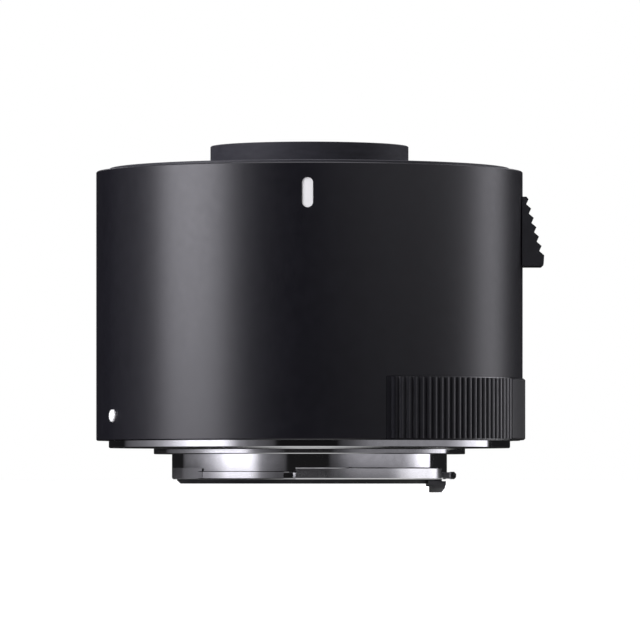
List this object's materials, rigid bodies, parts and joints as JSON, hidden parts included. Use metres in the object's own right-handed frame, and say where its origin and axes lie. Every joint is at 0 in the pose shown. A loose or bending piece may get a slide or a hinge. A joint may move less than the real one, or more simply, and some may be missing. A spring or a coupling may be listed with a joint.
{
  "type": "camera teleconverter",
  "caption": "Tubular lens extender with a male camera bayonet, a female lens bayonet round a raised optical tube, a sliding lock lever and sprung contacts",
  "frame": {"origin": "centre of the camera-side mounting face", "axes": "+Z along the optical axis towards the lens side, -Y towards the lens index mark, +X towards the release lever"},
  "size_m": [0.0738, 0.0705, 0.0572],
  "materials": {
    "barrel_paint": "fine satin black paint",
    "black_anodised": "matt black anodising",
    "mount_chrome": "bright chrome over brass",
    "bright_steel": "turned steel",
    "black_plastic": "moulded matt black plastic",
    "lever_plastic": "moulded satin black plastic",
    "grip_rubber": "ribbed black rubber",
    "mark_enamel": "white enamel",
    "contact_gold": "gold plating",
    "spring_steel": "spring wire",
    "chassis_casting": "die-cast and machined",
    "board_green": "solder mask",
    "flex_amber": "polyimide film",
    "coated_glass": "coated optical glass"
  },
  "bodies": {
    "root": {"outer_barrel": "barrel_paint", "front_rim_ring": "black_anodised", "optical_barrel": "black_anodised", "front_retaining_ring": "black_anodised", "rear_retaining_ring": "black_anodised", "spacer_ring_1": "black_anodised", "spacer_ring_2": "black_anodised", "spacer_ring_3": "black_anodised", "camera_side_mount": "mount_chrome", "lens_side_mount": "mount_chrome", "camera_side_mount_screws": "bright_steel", "lens_side_mount_screws": "bright_steel", "bayonet_spring": "bright_steel", "bayonet_stop_pin": "bright_steel", "lock_spring": "bright_steel", "spring_guide_rod": "bright_steel", "optical_barrel_screws": "bright_steel", "rear_cover_ring": "black_plastic", "rear_light_baffle": "black_plastic", "rear_contact_block": "black_plastic", "lens_contact_block": "black_plastic", "well_liner": "black_plastic", "grip_pad": "grip_rubber", "lens_index_mark": "mark_enamel", "body_index_mark": "mark_enamel", "rear_contact_pads": "contact_gold", "contact_spring_1": "spring_steel", "contact_spring_2": "spring_steel", "contact_spring_3": "spring_steel", "contact_spring_4": "spring_steel", "contact_spring_5": "spring_steel", "contact_spring_6": "spring_steel", "contact_spring_7": "spring_steel", "contact_spring_8": "spring_steel", "main_chassis": "chassis_casting", "circuit_board": "board_green", "front_flex_cable": "flex_amber", "rear_flex_cable": "flex_amber", "lens_1": "coated_glass", "lens_2": "coated_glass", "lens_3": "coated_glass", "lens_4": "coated_glass", "lens_5": "coated_glass", "lens_6": "coated_glass", "lens_7": "coated_glass", "lens_8": "coated_glass", "lens_9": "coated_glass"},
    "release": {"release_lever": "lever_plastic", "lever_screws": "bright_steel", "lock_slider": "bright_steel", "lock_pin": "bright_steel"},
    "contact_1": {"contact_pin_1": "contact_gold"},
    "contact_2": {"contact_pin_2": "contact_gold"},
    "contact_3": {"contact_pin_3": "contact_gold"},
    "contact_4": {"contact_pin_4": "contact_gold"},
    "contact_5": {"contact_pin_5": "contact_gold"},
    "contact_6": {"contact_pin_6": "contact_gold"},
    "contact_7": {"contact_pin_7": "contact_gold"},
    "contact_8": {"contact_pin_8": "contact_gold"}
  },
  "joints": [
    {"name": "release_slide", "type": "slide", "parent": "root", "child": "release", "axis": [0, 0, -1], "range_m": [0, 0.0023], "stiffness_N_per_m": 400, "springref_m": -0.003, "deforming": ["lock_spring"]},
    {"name": "contact_1_press", "type": "slide", "parent": "root", "child": "contact_1", "axis": [0, 0, -1], "range_m": [0, 0.0006], "stiffness_N_per_m": 150, "springref_m": -0.001, "deforming": ["contact_spring_1"]},
    {"name": "contact_2_press", "type": "slide", "parent": "root", "child": "contact_2", "axis": [0, 0, -1], "range_m": [0, 0.0006], "stiffness_N_per_m": 150, "springref_m": -0.001, "deforming": ["contact_spring_2"]},
    {"name": "contact_3_press", "type": "slide", "parent": "root", "child": "contact_3", "axis": [0, 0, -1], "range_m": [0, 0.0006], "stiffness_N_per_m": 150, "springref_m": -0.001, "deforming": ["contact_spring_3"]},
    {"name": "contact_4_press", "type": "slide", "parent": "root", "child": "contact_4", "axis": [0, 0, -1], "range_m": [0, 0.0006], "stiffness_N_per_m": 150, "springref_m": -0.001, "deforming": ["contact_spring_4"]},
    {"name": "contact_5_press", "type": "slide", "parent": "root", "child": "contact_5", "axis": [0, 0, -1], "range_m": [0, 0.0006], "stiffness_N_per_m": 150, "springref_m": -0.001, "deforming": ["contact_spring_5"]},
    {"name": "contact_6_press", "type": "slide", "parent": "root", "child": "contact_6", "axis": [0, 0, -1], "range_m": [0, 0.0006], "stiffness_N_per_m": 150, "springref_m": -0.001, "deforming": ["contact_spring_6"]},
    {"name": "contact_7_press", "type": "slide", "parent": "root", "child": "contact_7", "axis": [0, 0, -1], "range_m": [0, 0.0006], "stiffness_N_per_m": 150, "springref_m": -0.001, "deforming": ["contact_spring_7"]},
    {"name": "contact_8_press", "type": "slide", "parent": "root", "child": "contact_8", "axis": [0, 0, -1], "range_m": [0, 0.0006], "stiffness_N_per_m": 150, "springref_m": -0.001, "deforming": ["contact_spring_8"]}
  ]
}
